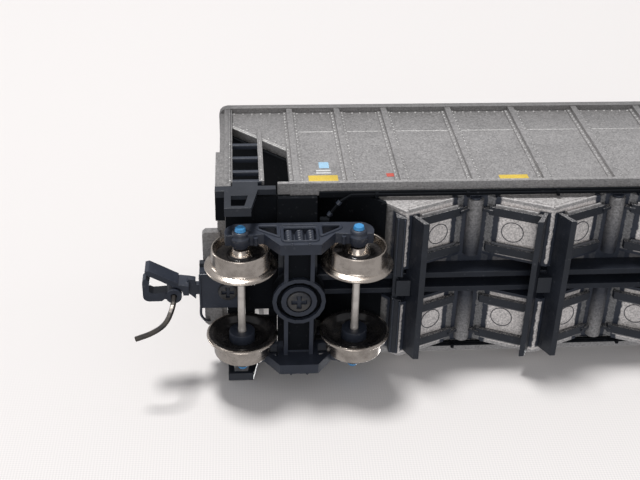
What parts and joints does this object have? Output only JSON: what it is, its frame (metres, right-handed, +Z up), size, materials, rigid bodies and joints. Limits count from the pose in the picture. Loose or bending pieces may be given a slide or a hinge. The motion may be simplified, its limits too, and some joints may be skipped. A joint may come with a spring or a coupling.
{
  "type": "model hopper car",
  "caption": "Railway model hopper car with an open hold, sloped ends, V-bottomed door bays, swivelling trucks and knuckle couplers.",
  "frame": {"origin": "middle of the car, on the plane that the wheel flanges touch", "axes": "+X along the car toward the hand-brake end, +Y to its left side, +Z up"},
  "size_m": [0.1092, 0.0206, 0.0265],
  "materials": {
    "silver": "metallic silver paint on moulded plastic",
    "black": "satin black moulded plastic",
    "nickel": "turned metal with a nickel plating",
    "blue": "blue painted plastic",
    "bronze": "blackened steel wire"
  },
  "bodies": {
    "car": {"body_shell": "silver", "hopper_floor": "silver", "centre_sill": "black", "door_frame_1": "black", "door_frame_2": "black", "door_frame_3": "black", "door_frame_4": "black", "door_frame_5": "black", "pipe_rail_left": "black", "pipe_rail_right": "black", "end_frame_a": "black", "coupler_box_a": "black", "coupler_lid_a": "black", "coupler_screw_a": "black", "truck_screw_a": "black", "ladder_a_left": "silver", "ladder_a_right": "silver", "end_frame_b": "black", "coupler_box_b": "black", "coupler_lid_b": "black", "coupler_screw_b": "black", "truck_screw_b": "black", "ladder_b_left": "silver", "ladder_b_right": "silver", "brake_stand_b": "black", "brake_wheel_b": "black"},
    "truck_a": {"truck_frame_a": "black", "bearing_cap_a1_left": "blue", "bearing_cap_a1_right": "blue", "bearing_cap_a2_left": "blue", "bearing_cap_a2_right": "blue"},
    "wheelset_a1": {"axle_a1": "nickel", "axle_bush_a1": "black", "wheel_a1_left": "nickel", "wheel_a1_right": "nickel"},
    "wheelset_a2": {"axle_a2": "nickel", "axle_bush_a2": "black", "wheel_a2_left": "nickel", "wheel_a2_right": "nickel"},
    "coupler_arm_a": {"coupler_a": "black"},
    "coupler_hook_a": {"knuckle_a": "black", "trip_pin_a": "bronze"},
    "truck_b": {"truck_frame_b": "black", "bearing_cap_b1_left": "blue", "bearing_cap_b1_right": "blue", "bearing_cap_b2_left": "blue", "bearing_cap_b2_right": "blue"},
    "wheelset_b1": {"axle_b1": "nickel", "axle_bush_b1": "black", "wheel_b1_left": "nickel", "wheel_b1_right": "nickel"},
    "wheelset_b2": {"axle_b2": "nickel", "axle_bush_b2": "black", "wheel_b2_left": "nickel", "wheel_b2_right": "nickel"},
    "coupler_arm_b": {"coupler_b": "black"},
    "coupler_hook_b": {"knuckle_b": "black", "trip_pin_b": "bronze"}
  },
  "joints": [
    {"name": "truck_a_swivel", "type": "hinge", "parent": "car", "child": "truck_a", "pos_m": [-0.0388, 0, 0.0053], "axis": [0, 0, 1], "range_deg": [-8, 8]},
    {"name": "wheelset_a1_spin", "type": "hinge", "parent": "truck_a", "child": "wheelset_a1", "pos_m": [-0.04435, 0, 0.0035], "axis": [0, 1, 0], "continuous": true},
    {"name": "wheelset_a2_spin", "type": "hinge", "parent": "truck_a", "child": "wheelset_a2", "pos_m": [-0.03325, 0, 0.0035], "axis": [0, 1, 0], "continuous": true},
    {"name": "coupler_a_swing", "type": "hinge", "parent": "car", "child": "coupler_arm_a", "pos_m": [-0.04567, 0, 0.00542], "axis": [0, 0, 1], "range_deg": [-12, 12], "stiffness_Nm_per_rad": 0.0001},
    {"name": "knuckle_a_open", "type": "hinge", "parent": "coupler_arm_a", "child": "coupler_hook_a", "pos_m": [-0.0509, 0.0001, 0.0047], "axis": [0, 0, 1], "range_deg": [-30, 0], "stiffness_Nm_per_rad": 0.00002},
    {"name": "truck_b_swivel", "type": "hinge", "parent": "car", "child": "truck_b", "pos_m": [0.0388, 0, 0.0053], "axis": [0, 0, 1], "range_deg": [-8, 8]},
    {"name": "wheelset_b1_spin", "type": "hinge", "parent": "truck_b", "child": "wheelset_b1", "pos_m": [0.04435, 0, 0.0035], "axis": [0, 1, 0], "continuous": true},
    {"name": "wheelset_b2_spin", "type": "hinge", "parent": "truck_b", "child": "wheelset_b2", "pos_m": [0.03325, 0, 0.0035], "axis": [0, 1, 0], "continuous": true},
    {"name": "coupler_b_swing", "type": "hinge", "parent": "car", "child": "coupler_arm_b", "pos_m": [0.04567, 0, 0.00542], "axis": [0, 0, 1], "range_deg": [-12, 12], "stiffness_Nm_per_rad": 0.0001},
    {"name": "knuckle_b_open", "type": "hinge", "parent": "coupler_arm_b", "child": "coupler_hook_b", "pos_m": [0.0509, -0.0001, 0.0047], "axis": [0, 0, 1], "range_deg": [-30, 0], "stiffness_Nm_per_rad": 0.00002}
  ]
}
